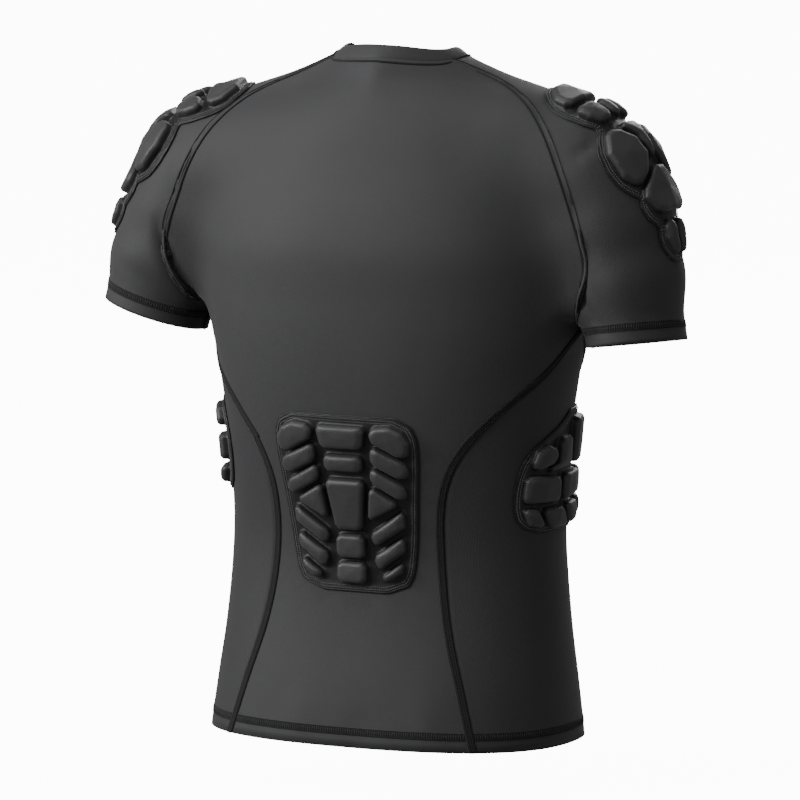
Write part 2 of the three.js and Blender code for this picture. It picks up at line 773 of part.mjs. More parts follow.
// A rib pad, round the side: across runs forward from its rear edge, measured round the body
const ribPad = { rearAngle: 22, reach: 165, rows: 12, columns: 10 };
const ribEdge = [
  { z: -446, rear: 36, front: 102 },
  { z: -443, rear: 22, front: 111 },
  { z: -434, rear: 10, front: 122 },
  { z: -420, rear: 6, front: 127 },
  { z: -400, rear: 6, front: 130 },
  { z: -380, rear: 11, front: 131 },
  { z: -366, rear: 20, front: 130 },
  { z: -354, rear: 38, front: 128 },
  { z: -342, rear: 62, front: 124 },
  { z: -332, rear: 76, front: 114 },
];
const ribBlocks = [
  [[24, -366], [36, -360], [50, -366], [47, -378], [26, -384], [18, -381]],
  [[54, -356], [76, -352], [78, -384], [38, -388], [40, -383], [52, -379]],
  [[82, -340], [104, -338], [118, -346], [122, -362], [119, -384], [83, -384]],
  [[14, -389], [57, -392], [56, -417], [12, -415]],
  [[62, -391], [104, -390], [102, -414], [61, -416]],
  [[109, -390], [125, -390], [123, -412], [108, -413]],
  [[12, -420], [28, -422], [37, -440], [20, -437]],
  [[32, -422], [62, -421], [70, -441], [42, -442]],
  [[67, -420], [96, -419], [94, -439], [75, -441]],
  [[101, -418], [121, -417], [116, -433], [100, -438]],
];

function onRibs(lift) {
  return (across, z, height) => {
    const angle = THREE.MathUtils.degToRad(ribPad.rearAngle) - across / ribPad.reach;
    const direction = new THREE.Vector3(Math.cos(angle), Math.sin(angle), 0);
    const p = castRay(new THREE.Vector3(0, 0, z + lift), direction);
    return p.addScaledVector(normalAt(p), height);
  };
}

function ribPadGeometry(lift, flipped) {
  const place = onRibs(lift);
  const rows = padHeights(ribEdge, ribPad.rows).map((z) => {
    const { rear, front } = lookUp(ribEdge, 'z', z);
    return { from: [rear, z], to: [front, z] };
  });
  const blocks = ribBlocks.map((corners) => blockGeometry(corners, place, { round: 4, longest: 26 }));
  return padGeometry(flangeGeometry(rows, ribPad.columns, place), blocks, flipped);
}

// A shoulder pad, along the sleeve's ridge: places are along the ridge from the neck, and
// across it, rearward, both measured on the sleeve
const shoulderColumns = 7;
const shoulderEdge = [
  { along: 90, halfWidth: 9 },
  { along: 95, halfWidth: 18 },
  { along: 106, halfWidth: 28 },
  { along: 122, halfWidth: 37 },
  { along: 138, halfWidth: 39.5 },
  { along: 154, halfWidth: 37 },
  { along: 166, halfWidth: 31 },
  { along: 176, halfWidth: 41 },
  { along: 190, halfWidth: 49 },
  { along: 208, halfWidth: 52.5 },
  { along: 226, halfWidth: 50.5 },
  { along: 238, halfWidth: 43 },
  { along: 245, halfWidth: 35 },
  { along: 254, halfWidth: 38 },
  { along: 266, halfWidth: 34 },
  { along: 277, halfWidth: 22.5 },
  { along: 286, halfWidth: 23.5 },
  { along: 300, halfWidth: 20 },
  { along: 310, halfWidth: 13 },
  { along: 314, halfWidth: 6 },
];
const shoulderMiddleBlocks = [
  [[98, -13], [98, 13], [114, 28], [132, 31], [131, -31], [114, -28]],
  [[138, -5.5], [138, 5.5], [163, 4.5], [163, -4.5]],
  [[171, -15], [171, 15], [190, 4.5], [213, 3], [213, -3], [190, -4.5]],
  [[219, -5], [219, 5], [238, 29], [247, 33], [265, 22], [265, -22], [247, -33], [238, -29]],
];
const shoulderSideBlocks = [
  [[138, 10], [138, 33], [153, 31], [164, 24], [164, 9]],
  [[172, 31], [177, 19], [190, 9.5], [208, 7.5], [224, 17], [236, 33], [220, 44], [194, 44]],
  [[271, 2], [271, 17], [290, 18], [306, 10], [309, 2]],
];

function onShoulder(turn) {
  return (along, across, height) => {
    const frame = sleeveFrame(along / ridgeLength);
    const angle = (across + turn) / frame.radius;
    const direction = frame.outward.clone().multiplyScalar(Math.cos(angle));
    direction.addScaledVector(frame.rearward, Math.sin(angle));
    const p = castRay(frame.middle, direction);
    return p.addScaledVector(normalAt(p), height);
  };
}

function shoulderPadGeometry(turn, flipped) {
  const place = onShoulder(turn);
  const rows = shoulderEdge.map(({ along, halfWidth }) => ({
    from: [along, -halfWidth],
    to: [along, halfWidth],
  }));
  const flip = (corners) => corners.map(([along, across]) => [along, -across]);
  const outlines = [...shoulderMiddleBlocks, ...shoulderSideBlocks, ...shoulderSideBlocks.map(flip)];
  const blocks = outlines.map((corners) => blockGeometry(corners, place, { round: 5, longest: 19 }));
  return padGeometry(flangeGeometry(rows, shoulderColumns, place), blocks, flipped);
}

const withRaglan = (side, raglan) => [...side, ...raglan.slice(1)];
const backPanel = bodyPanel({
  leftEdge: withRaglan(backSide.left, backRaglan),
  rightEdge: withRaglan(backSide.right, backRaglan),
  facing: 1,
  neckMiddleRow: 0,
  neckCornerRow: neckBackCorner,
  columns: backColumns,
});
const frontPanel = bodyPanel({
  leftEdge: withRaglan(frontSide, frontRaglan),
  rightEdge: withRaglan(frontSide, frontRaglan),
  facing: -1,
  neckMiddleRow: neckLine.length - 1,
  neckCornerRow: neckFrontCorner,
  columns: frontColumns,
});
addPiece('back_panel', wallInward(backPanel), clothGrey);
addPiece('front_panel', wallInward(frontPanel), clothGrey);
addPiece('side_panel_left', wallInward(sidePanel(backSide.left, frontSide)), sideGrey);
addPiece('side_panel_right', wallInward(mirrored(sidePanel(backSide.right, frontSide))), sideGrey);
addPiece('sleeve_left', wallInward(sleevePanel(leftCuff), true), clothGrey);
addPiece('sleeve_right', wallInward(mirrored(sleevePanel(rightCuff)), true), clothGrey);
addPiece('collar', collarGeometry(), clothGrey);
addPiece('tail_pad', tailPadGeometry(), padGrey);
addPiece('rib_pad_left', ribPadGeometry(leftRibLift, false), padGrey);
addPiece('rib_pad_right', ribPadGeometry(0, true), padGrey);
addPiece('shoulder_pad_left', shoulderPadGeometry(leftPadTurn, false), padGrey);
addPiece('shoulder_pad_right', shoulderPadGeometry(0, true), padGrey);

export default shirt;
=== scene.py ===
# Padded compression shirt, seen from behind: stretch cloth, flat seams and moulded pads
import bpy
import bmesh
import math
import numpy as np
from mathutils import Matrix, Vector
from mathutils.bvhtree import BVHTree
from mathutils.kdtree import KDTree


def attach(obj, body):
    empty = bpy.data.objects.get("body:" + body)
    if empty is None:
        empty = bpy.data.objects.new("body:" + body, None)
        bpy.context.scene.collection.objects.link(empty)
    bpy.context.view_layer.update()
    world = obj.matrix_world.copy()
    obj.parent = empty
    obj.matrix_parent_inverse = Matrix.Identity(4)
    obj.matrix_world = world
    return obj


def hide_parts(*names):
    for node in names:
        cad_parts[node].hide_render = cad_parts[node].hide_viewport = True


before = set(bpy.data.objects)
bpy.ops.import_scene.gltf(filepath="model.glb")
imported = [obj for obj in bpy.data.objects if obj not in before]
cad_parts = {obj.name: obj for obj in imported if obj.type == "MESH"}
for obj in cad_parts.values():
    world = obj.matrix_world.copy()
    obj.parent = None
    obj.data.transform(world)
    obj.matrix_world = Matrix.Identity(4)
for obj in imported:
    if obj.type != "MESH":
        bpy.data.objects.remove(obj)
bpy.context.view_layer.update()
mm = 0.001
weldDistance = dict(node=0.02 * mm, band=0.001 * mm)


# Small helpers

def newObject(name, mesh, material, slotName, smooth=True):
    obj = bpy.data.objects.new(name, mesh)
    bpy.context.scene.collection.objects.link(obj)
    if material:
        mesh.materials.clear()
        mesh.materials.append(material)
    if smooth:
        mesh.shade_smooth()
    if slotName:
        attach(obj, "root")
    return obj


def meshFrom(bm, name):
    mesh = bpy.data.meshes.new(name)
    bm.to_mesh(mesh)
    bm.free()
    return mesh


def mergedCopy(nodeName):
    bm = bmesh.new()
    bm.from_mesh(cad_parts[nodeName].data)
    bmesh.ops.remove_doubles(bm, verts=bm.verts, dist=weldDistance["node"])
    bm.normal_update()
    return bm


def evaluated(mesh, kind, **settings):
    obj = bpy.data.objects.new("draft", mesh)
    bpy.context.scene.collection.objects.link(obj)
    modifier = obj.modifiers.new("draft", kind)
    for key, value in settings.items():
        setattr(modifier, key, value)
    graph = bpy.context.evaluated_depsgraph_get()
    made = bpy.data.meshes.new_from_object(obj.evaluated_get(graph))
    bpy.data.objects.remove(obj)
    return made


def points(mesh):
    co = np.empty(len(mesh.vertices) * 3)
    mesh.vertices.foreach_get("co", co)
    return co.reshape(-1, 3)


def normals(mesh):
    no = np.empty(len(mesh.vertices) * 3)
    mesh.vertex_normals.foreach_get("vector", no)
    return no.reshape(-1, 3)


def setPoints(mesh, co):
    mesh.vertices.foreach_set("co", np.ascontiguousarray(co).ravel())
    mesh.update()


def joinedToQuads(bm):
    bmesh.ops.join_triangles(
        bm, faces=bm.faces, angle_face_threshold=math.pi, angle_shape_threshold=math.pi
    )


# The side of a wall that faces the given way, up to edges that turn more than this many degrees
wallPick = dict(facing=0.9, turn=52)


def wallSide(nodeName, facing):
    bm = mergedCopy(nodeName)
    way = Vector(facing)
    start = max(
        (f for f in bm.faces if f.normal.dot(way) > wallPick["facing"]),
        key=lambda f: f.calc_center_median().dot(way),
    )
    skin = {start}
    waiting = [start]
    limit = math.cos(math.radians(wallPick["turn"]))
    while waiting:
        face = waiting.pop()
        for edge in face.edges:
            for other in edge.link_faces:
                if other not in skin and face.normal.dot(other.normal) > limit:
                    skin.add(other)
                    waiting.append(other)
    bmesh.ops.delete(bm, geom=[f for f in bm.faces if f not in skin], context="FACES")
    joinedToQuads(bm)
    return bm


# Subdivided, with the first points kept where they were
def smoothed(mesh, levels, rounds=3):
    goal = points(mesh)
    settings = dict(levels=levels, render_levels=levels, boundary_smooth="PRESERVE_CORNERS")
    for _ in range(rounds):
        fine = evaluated(mesh, "SUBSURF", **settings)
        setPoints(mesh, points(mesh) + goal - points(fine)[: len(goal)])
        bpy.data.meshes.remove(fine)
    return evaluated(mesh, "SUBSURF", **settings)


# Materials

def nodeMaterial(name):
    material = bpy.data.materials.new(name)
    material.use_nodes = True
    return material, material.node_tree.nodes, material.node_tree.links


knitGrain = dict(
    blotch=dict(scale=9, detail=3),
    grain=dict(scale=900, detail=2, share=0.55),
    tint=(0.3, 0.7),
    sheenRoughness=0.45,
    loops=dict(distortion=0.6, detail=1, depth=0.25 * mm),
    fuzz=dict(strength=0.35, depth=0.4 * mm),
)
waveScale = math.pi / 10  # at scale 1 a wave texture has 10 / pi waves in a metre


def noise(nodes, links, source, look):
    made = nodes.new("ShaderNodeTexNoise")
    made.inputs["Scale"].default_value = look["scale"]
    made.inputs["Detail"].default_value = look["detail"]
    links.new(source, made.inputs["Vector"])
    return made


def bumped(nodes, links, height, strength, depth, under=None):
    made = nodes.new("ShaderNodeBump")
    made.inputs["Strength"].default_value = strength
    made.inputs["Distance"].default_value = depth
    links.new(height, made.inputs["Height"])
    if under:
        links.new(under.outputs["Normal"], made.inputs["Normal"])
    return made


def knitMaterial(name, look):
    material, nodes, links = nodeMaterial(name)
    shader = nodes["Principled BSDF"]
    shader.inputs["Roughness"].default_value = look["roughness"]
    shader.inputs["Sheen Weight"].default_value = look["sheen"]
    shader.inputs["Sheen Roughness"].default_value = knitGrain["sheenRoughness"]
    shader.inputs["Specular IOR Level"].default_value = look["gloss"]
    place = nodes.new("ShaderNodeTexCoord")
    blotch = noise(nodes, links, place.outputs["Object"], knitGrain["blotch"])
    grain = noise(nodes, links, place.outputs["Object"], knitGrain["grain"])
    both = nodes.new("ShaderNodeMix")
    both.data_type = "FLOAT"
    both.inputs["Factor"].default_value = knitGrain["grain"]["share"]
    links.new(blotch.outputs["Fac"], both.inputs["A"])
    links.new(grain.outputs["Fac"], both.inputs["B"])
    tint = nodes.new("ShaderNodeValToRGB")
    for element, position, change in zip(tint.color_ramp.elements, knitGrain["tint"], (-1, 1)):
        element.position = position
        element.color = [c * (1 + change * look["mottle"]) for c in look["colour"]] + [1]
    links.new(both.outputs["Result"], tint.inputs["Fac"])
    colour = tint.outputs["Color"]
    # painted shade: the shade attribute mixes the colour down to the near-black groove colour between the
    # blocks, where shade falls
    if "grooveShade" in look:  # darker down between the blocks
        depth = nodes.new("ShaderNodeAttribute")
        depth.attribute_name = "shade"
        darker = nodes.new("ShaderNodeMix")
        darker.data_type = "RGBA"
        darker.inputs["A"].default_value = (*look["grooveShade"], 1)
        links.new(depth.outputs["Fac"], darker.inputs["Factor"])
        links.new(colour, darker.inputs["B"])
        colour = darker.outputs["Result"]
    links.new(colour, shader.inputs["Base Color"])
    # Knit: upright wales crossed by rows of loops
    wales = nodes.new("ShaderNodeTexWave")
    wales.wave_type = "BANDS"
    wales.bands_direction = "X"
    rows = nodes.new("ShaderNodeTexWave")
    rows.wave_type = "BANDS"
    rows.bands_direction = "Y"
    source = place.outputs[look["mapping"]]
    for wave, pitch in ((wales, look["wale"]), (rows, look["row"])):
        wave.inputs["Scale"].default_value = waveScale / (pitch * mm)
        wave.inputs["Distortion"].default_value = knitGrain["loops"]["distortion"]
        wave.inputs["Detail"].default_value = knitGrain["loops"]["detail"]
        links.new(source, wave.inputs["Vector"])
    loops = nodes.new("ShaderNodeMath")
    loops.operation = "MULTIPLY"
    links.new(wales.outputs["Fac"], loops.inputs[0])
    links.new(rows.outputs["Fac"], loops.inputs[1])
    knit = bumped(nodes, links, loops.outputs[0], look["bump"], knitGrain["loops"]["depth"])
    fuzz = knitGrain["fuzz"]
    soft = bumped(nodes, links, grain.outputs["Fac"], fuzz["strength"], fuzz["depth"], under=knit)
    links.new(soft.outputs["Normal"], shader.inputs["Normal"])
    return material


threadFibre = dict(sheen=0.1, scale=1500, detail=2, dark=0.6, light=1.4, strength=0.4, depth=0.2 * mm)


def threadMaterial(name, colour, roughness):
    material, nodes, links = nodeMaterial(name)
    shader = nodes["Principled BSDF"]
    shader.inputs["Roughness"].default_value = roughness
    shader.inputs["Sheen Weight"].default_value = threadFibre["sheen"]
    place = nodes.new("ShaderNodeTexCoord")
    fibre = noise(nodes, links, place.outputs["Object"], threadFibre)
    tint = nodes.new("ShaderNodeValToRGB")
    for element, share in zip(tint.color_ramp.elements, (threadFibre["dark"], threadFibre["light"])):
        element.color = [c * share for c in colour] + [1]
    links.new(fibre.outputs["Fac"], tint.inputs["Fac"])
    links.new(tint.outputs["Color"], shader.inputs["Base Color"])
    bump = bumped(nodes, links, fibre.outputs["Fac"], threadFibre["strength"], threadFibre["depth"])
    links.new(bump.outputs["Normal"], shader.inputs["Normal"])
    return material


clothLook = dict(
    colour=(0.046, 0.046, 0.048), mottle=0.10,
    roughness=0.62, sheen=0.12, gloss=0.35,
    wale=1.1, row=0.9, bump=0.35,  # spacing of the knit in millimetres, and its relief
    mapping="UV",
)
clothMaterial = knitMaterial("charcoalKnit", clothLook)
sideMaterial = knitMaterial("sideKnit", {**clothLook, "colour": (0.040, 0.040, 0.042)})
collarMaterial = knitMaterial("collarKnit", {**clothLook, "mapping": "Object", "wale": 1.3})
padLook = {
    **clothLook, "colour": (0.044, 0.044, 0.046), "mapping": "Object", "mottle": 0.14,
    "roughness": 0.46, "gloss": 0.5, "wale": 0.9, "row": 0.9, "bump": 0.25,
    # painted shade: the near-black colour of the grooves between the blocks
    "grooveShade": (0.003, 0.003, 0.0035),
}
padMaterial = knitMaterial("padCover", padLook)
seamMaterial = threadMaterial("seamTape", (0.0035, 0.0035, 0.004), 0.85)
threadDark = threadMaterial("darkThread", (0.012, 0.012, 0.013), 0.6)
threadLight = threadMaterial("greyThread", (0.15, 0.15, 0.155), 0.5)
print("materials made")


# Creases: soft troughs and ridges, each along a short line on the cloth, in millimetres
# First the back: armpits, shoulders and sleeves, then the hem; then the front, which is guessed

creases = [
    dict(
        depth=-4.0, width=4.5,
        path=[(229, 58, -166), (225, 57, -183), (218, 54, -203), (209, 47, -226), (202, 30, -245)],
    ),
    dict(depth=1.6, width=6.0, path=[(240, 55, -176), (234, 54, -200), (224, 50, -226)]),
    dict(depth=-2.2, width=5.0, path=[(214, 53, -206), (203, 46, -228), (202, 18, -254)]),
    dict(depth=-2.4, width=4.5, path=[(-221, 31, -67), (-217, 42, -77), (-207, 51, -87)]),
    dict(depth=1.0, width=6.0, path=[(-214, 50, -92), (-222, 46, -84)]),
    dict(
        depth=-3.0, width=5.5,
        path=[(-215, 57, -180), (-216, 54, -200), (-215, 48, -224), (-196, 9, -250)],
    ),
    dict(depth=-1.5, width=7.0, path=[(-211, 59, -155), (-223, 58, -167), (-234, 56, -181)]),
    dict(depth=-1.8, width=4.0, path=[(-186, 45, -232), (-194, 31, -243), (-193, 8, -253)]),
    dict(depth=-1.6, width=5.0, path=[(-219, 52, -218), (-228, 50, -237), (-241, 52, -249)]),
    dict(depth=-1.2, width=7.0, path=[(-226, 56, -203), (-240, 55, -222), (-257, 51, -241)]),
    dict(depth=-1.0, width=8.0, path=[(276, 47, -210), (248, 55, -221), (230, 52, -230)]),
    dict(depth=-1.2, width=12.0, path=[(205, 42, -79), (208, 52, -99), (212, 57, -122)]),
    dict(depth=-1.6, width=16.0, path=[(-268, 37, -156), (-280, 29, -180), (-288, 25, -218)]),
    dict(depth=1.4, width=18.0, path=[(51, 109, -599), (52, 114, -627), (57, 118, -660)]),
    dict(depth=-1.6, width=20.0, path=[(-20, 112, -610), (-16, 118, -660)]),
    dict(depth=1.5, width=18.0, path=[(-73, 103, -591), (-81, 108, -618), (-88, 112, -665)]),
    dict(depth=-1.3, width=16.0, path=[(-157, 61, -591), (-162, 62, -619), (-164, 66, -665)]),
    dict(depth=-2.0, width=9.0, path=[(206, -58, -190), (202, -44, -222), (196, -12, -250)]),
    dict(depth=-2.2, width=8.0, path=[(-207, -60, -186), (-204, -48, -218), (-197, -14, -249)]),
    dict(depth=-1.2, width=12.0, path=[(228, -50, -200), (246, -47, -226), (262, -40, -246)]),
    dict(depth=1.4, width=20.0, path=[(60, -112, -600), (66, -114, -665)]),
    dict(depth=-1.5, width=18.0, path=[(-14, -112, -604), (-18, -114, -665)]),
    dict(depth=1.3, width=18.0, path=[(-92, -108, -596), (-100, -110, -665)]),
]


# How far each point is from a path, and how far along it
def lineDistance(co, path):
    best = np.full(len(co), np.inf)
    share = np.zeros(len(co))
    total = sum(math.dist(a, b) for a, b in zip(path, path[1:]))
    gone = 0.0
    for a, b in zip(path, path[1:]):
        a, b = np.array(a, float), np.array(b, float)
        run = b - a
        length = np.linalg.norm(run)
        t = np.clip((co - a) @ run / length ** 2, 0, 1)
        away = np.linalg.norm(co - a - t[:, None] * run, axis=1)
        near = away < best
        best = np.where(near, away, best)
        share = np.where(near, (gone + t * length) / total, share)
        gone += length
    return best, share


creaseEnds = dict(start=0.03, run=0.94, power=0.6)  # a crease dies away towards both ends


def creaseHeight(co):
    height = np.zeros(len(co))
    for line in creases:
        away, share = lineDistance(co, line["path"])
        along = np.clip(share * creaseEnds["run"] + creaseEnds["start"], 0, 1)
        fade = np.sin(np.pi * along) ** creaseEnds["power"]
        height += line["depth"] * np.exp(-((away / line["width"]) ** 2)) * fade
    return height


# Cloth pieces

clothPieces = {
    "back_panel": dict(facing=(0, 1, 0), shell="back_cloth", slot="cloth"),
    "front_panel": dict(facing=(0, -1, 0), shell="front_cloth", slot="cloth"),
    "side_panel_left": dict(facing=(1, 0, 0), shell="side_cloth_left", slot="side_cloth"),
    "side_panel_right": dict(facing=(-1, 0, 0), shell="side_cloth_right", slot="side_cloth"),
    "sleeve_left": dict(facing=(1, 0, 0), shell="sleeve_cloth_left", slot="cloth"),
    "sleeve_right": dict(facing=(-1, 0, 0), shell="sleeve_cloth_right", slot="cloth"),
}
clothMaterials = {"cloth": clothMaterial, "side_cloth": sideMaterial}
clothShell = dict(levels=2, wall=1.1)

knitRound = dict(  # the rounds that the map is unrolled from, in millimetres
    armDepth=66, armScale=62, armRoot=(60, -20),
    bodyWidth=235, bodyScale=200,
    limit=0.99,
)


# A map that runs with the knit, in metres
def mapKnit(mesh, nodeName):
    layer = mesh.uv_layers.new(name="knit")
    co = points(mesh) / mm
    x, y, z = co.T
    if nodeName.startswith("sleeve"):
        turned = np.clip(y / knitRound["armDepth"], -knitRound["limit"], knitRound["limit"])
        u = knitRound["armScale"] * np.arcsin(turned)
        v = np.hypot(np.abs(x) - knitRound["armRoot"][0], z - knitRound["armRoot"][1])
    elif nodeName.startswith("side"):
        u, v = y, z
    else:
        turned = np.clip(x / knitRound["bodyWidth"], -knitRound["limit"], knitRound["limit"])
        u = knitRound["bodyScale"] * np.arcsin(turned)
        v = z
    index = np.empty(len(mesh.loops), dtype=np.int32)
    mesh.loops.foreach_get("vertex_index", index)
    layer.data.foreach_set("uv", np.stack([u, v], 1)[index].ravel() * mm)


skins = {}
for nodeName, piece in clothPieces.items():
    bm = wallSide(nodeName, piece["facing"])
    coarse = meshFrom(bm, piece["shell"] + "_coarse")
    skin = smoothed(coarse, clothShell["levels"])
    skin.name = piece["shell"]
    co = points(skin)
    setPoints(skin, co + normals(skin) * (creaseHeight(co / mm) * mm)[:, None])
    skins[nodeName] = skin
    print("skin", nodeName, len(coarse.polygons), len(skin.polygons))


# One surface of all outer cloth, to lay things on
def surfaceOf(meshes):
    co, faces = [], []
    for mesh in meshes:
        base = len(co)
        co += [v.co.copy() for v in mesh.vertices]
        faces += [[base + k for k in p.vertices] for p in mesh.polygons]
    return BVHTree.FromPolygons(co, faces)


clothSurface = surfaceOf(skins.values())


def onCloth(p):
    place, normal, _, _ = clothSurface.find_nearest(p)
    return place, normal


# Paths along the borders of the skins, as lists of (place, normal)
# Of the two ways round a border, the one that passes nearest to via is taken

def borderPath(nodeName, start, end, via):
    bm = bmesh.new()
    bm.from_mesh(skins[nodeName])
    bm.normal_update()
    border = [v for v in bm.verts if v.is_boundary]
    first, last = (min(border, key=lambda v: (v.co - Vector(p) * mm).length) for p in (start, end))
    found = []
    for edge in (e for e in first.link_edges if e.is_boundary):
        path, here, by = [first], first, edge
        for _ in range(len(border)):
            here = by.other_vert(here)
            path.append(here)
            if here == last or here == first:
                break
            by = next(e for e in here.link_edges if e.is_boundary and e != by)
        if here == last:
            off = min((v.co - Vector(via) * mm).length for v in path)
            found.append((off, [(v.co.copy(), v.normal.copy()) for v in path]))
    bm.free()
    return min(found, key=lambda item: item[0])[1]


# Spaced evenly, about step millimetres apart, then smoothed
def evened(path, step, rounds=2, closed=False):
    places = [p for p, _ in path]
    ups = [n for _, n in path]
    if closed:
        places.append(places[0])
        ups.append(ups[0])
    along = [0.0]
    for a, b in zip(places, places[1:]):
        along.append(along[-1] + (b - a).length)
    count = max(2, round(along[-1] / (step * mm)))
    made, k = [], 0
    for i in range(count + (0 if closed else 1)):
        goal = along[-1] * i / count
        while k < len(along) - 2 and along[k + 1] < goal:
            k += 1
        t = min(1, (goal - along[k]) / max(1e-9, along[k + 1] - along[k]))
        made.append((places[k].lerp(places[k + 1], t), ups[k].lerp(ups[k + 1], t).normalized()))
    for _ in range(rounds):
        smooth = list(made)
        for i in range(len(made)):
            if not closed and i in (0, len(made) - 1):
                continue
            (a, m), (b, n), (c, o) = made[i - 1], made[i], made[(i + 1) % len(made)]
            smooth[i] = ((a + b * 2 + c) / 4, (m + n * 2 + o).normalized())
        made = smooth
    return made


# Each station: place, normal, side (to the left of the way) and the way itself
def stations(path, closed=False):
    count = len(path)
    made = []
    for i, (place, normal) in enumerate(path):
        before = path[i - 1][0] if i or closed else place
        after = path[(i + 1) % count][0] if i + 1 < count or closed else place
        way = (after - before).normalized()
        side = normal.cross(way).normalized()
        made.append((place, way.cross(side).normalized(), side, way))
    return made


# A band along a path: profile points are (across, height) in millimetres, counter-clockwise
def sweep(name, path, profile, material, slotName, closed=False):
    row = stations(path, closed)
    if closed:
        row.append(row[0])
    bm = bmesh.new()
    across = len(profile)
    bmesh.ops.create_grid(bm, x_segments=len(row) - 1, y_segments=across, size=1)
    for v in bm.verts:
        i = round((v.co.x + 1) / 2 * (len(row) - 1))
        j = round((v.co.y + 1) / 2 * across) % across
        place, normal, side, _ = row[i]
        place, normal = onCloth(place + side * (profile[j][0] * mm))
        v.co = place + normal * (profile[j][1] * mm)
    bmesh.ops.remove_doubles(bm, verts=bm.verts, dist=weldDistance["band"])
    if not closed:
        bmesh.ops.holes_fill(bm, edges=[e for e in bm.edges if e.is_boundary], sides=0)
    bmesh.ops.recalc_face_normals(bm, faces=bm.faces)
    return newObject(name, meshFrom(bm, name), material, slotName)


def stitchShape(length, width, height):
    bm = bmesh.new()
    bmesh.ops.create_icosphere(bm, subdivisions=1, radius=0.5)
    bmesh.ops.scale(bm, vec=(length * mm, width * mm, height * mm), verts=bm.verts)
    return meshFrom(bm, "stitch")


# Rows of stitches on a path; each row is (across, height, turn) in millimetres and degrees
def stitch(name, path, rows, pitch, shape, material, slotName, closed=False, swing=0):
    shapeMesh = stitchShape(*shape)
    shapeCo = points(shapeMesh)
    bm = bmesh.new()
    for across, height, turn in rows:
        for k, (place, normal, side, way) in enumerate(stations(evened(path, pitch, 0, closed), closed)):
            angle = math.radians(turn + (swing if k % 2 else -swing))
            ahead = way * math.cos(angle) + side * math.sin(angle)
            left = side * math.cos(angle) - way * math.sin(angle)
            turned = Matrix((ahead, left, normal)).transposed()
            place, _ = onCloth(place + side * (across * mm))
            middle = place + normal * (height * mm)
            base = len(bm.verts)
            bm.from_mesh(shapeMesh)
            bm.verts.ensure_lookup_table()
            for v, local in zip(bm.verts[base:], shapeCo):
                v.co = middle + turned @ Vector(local)
    return newObject(name, meshFrom(bm, name), material, slotName)


# A path moved sideways on the cloth
def besidePath(path, distance):
    return [onCloth(place + side * (distance * mm)) for place, _, side, _ in stations(path)]


# Seams: a dark flat band with three rows of stitches

seamBand = dict(
    step=3.0,
    profile=[
        (-4.1, 0.1), (-3.8, 0.85), (-2.4, 1.1), (-0.9, 0.85), (0.9, 0.85), (2.4, 1.1),
        (3.8, 0.85), (4.1, 0.1), (2.6, -0.5), (-2.6, -0.5),
    ],
    rows=[(-2.3, 1.1, 0), (0, 0.85, 0), (2.3, 1.1, 0)],
    pitch=2.2,
    shape=(1.5, 1.0, 0.7),
)
neckBackLeft, neckBackRight = (64, 12, -1), (-64, 12, 0)
neckFrontLeft, neckFrontRight = (60, -38, -15), (-60, -38, -14)
# Panel, start, end and a place near the middle of each seam
seamEnds = {
    "back_side_left": ("back_panel", (140, 105, -648), (195, 0.7, -251), (100, 95, -450)),
    "back_side_right": ("back_panel", (-132, 107, -648), (-195, 0.7, -251), (-90, 95, -450)),
    "front_side_left": ("front_panel", (141, -96, -648), (195, -0.7, -251), (120, -95, -450)),
    "front_side_right": ("front_panel", (-141, -96, -648), (-195, -0.7, -251), (-120, -95, -450)),
    "back_raglan_left": ("back_panel", (195, 0.7, -251), neckBackLeft, (205, 60, -125)),
    "back_raglan_right": ("back_panel", (-195, 0.7, -251), neckBackRight, (-205, 60, -115)),
    "front_raglan_left": ("front_panel", (195, -0.7, -251), neckFrontLeft, (178, -66, -130)),
    "front_raglan_right": ("front_panel", (-195, -0.7, -251), neckFrontRight, (-178, -66, -125)),
    "underarm_left": ("sleeve_left", (197, 1, -256), (205, 4, -276), (200, 4, -262)),
    "underarm_right": ("sleeve_right", (-195, 0.7, -251), (-205, 4, -270), (-200, 4, -262)),
}
for seamName, (nodeName, start, end, via) in seamEnds.items():
    path = evened(borderPath(nodeName, start, end, via), seamBand["step"])
    sweep("seam_" + seamName, path, seamBand["profile"], seamMaterial, "cloth")
    stitch("stitches_" + seamName, path, seamBand["rows"], seamBand["pitch"],
           seamBand["shape"], threadDark, "cloth")
print("seams made", len(seamEnds))

# Neck seam: back, left sleeve, front and right sleeve in turn
neckRuns = [
    ("back_panel", neckBackRight, neckBackLeft, (0, 47, -2)),
    ("sleeve_left", neckBackLeft, neckFrontLeft, (68, -12, -2)),
    ("front_panel", neckFrontLeft, neckFrontRight, (0, -76, -54)),
    ("sleeve_right", neckFrontRight, neckBackRight, (-68, -12, -1)),
]
neckBand = dict(
    step=3.0, rounds=3,
    profile=[
        (-1.2, 0.1), (-0.9, 0.8), (0.6, 1.1), (2.0, 0.7), (3.6, 0.7), (4.8, 0.9),
        (5.6, 0.5), (6.0, 0.0), (5.0, -0.5), (0.2, -0.5),
    ],
    rows=[(0.3, 1.1, 62), (4.7, 0.9, 0)],
    pitch=2.2,
    shape=(1.9, 0.8, 0.6),
)
neckPath = []
for run in neckRuns:
    neckPath += borderPath(*run)[:-1]
neckPath = evened(neckPath, neckBand["step"], neckBand["rounds"], closed=True)
toBody = 1 if stations(neckPath, True)[0][2].z < 0 else -1
neckProfile = [(across * toBody, height) for across, height in neckBand["profile"]]
neckRows = [(across * toBody, height, turn) for across, height, turn in neckBand["rows"]]
sweep("seam_neck", neckPath, neckProfile, seamMaterial, "collar_band", closed=True)
stitch("stitches_neck", neckPath, neckRows, neckBand["pitch"], neckBand["shape"],
       threadDark, "collar_band", closed=True)
print("neck seam made")

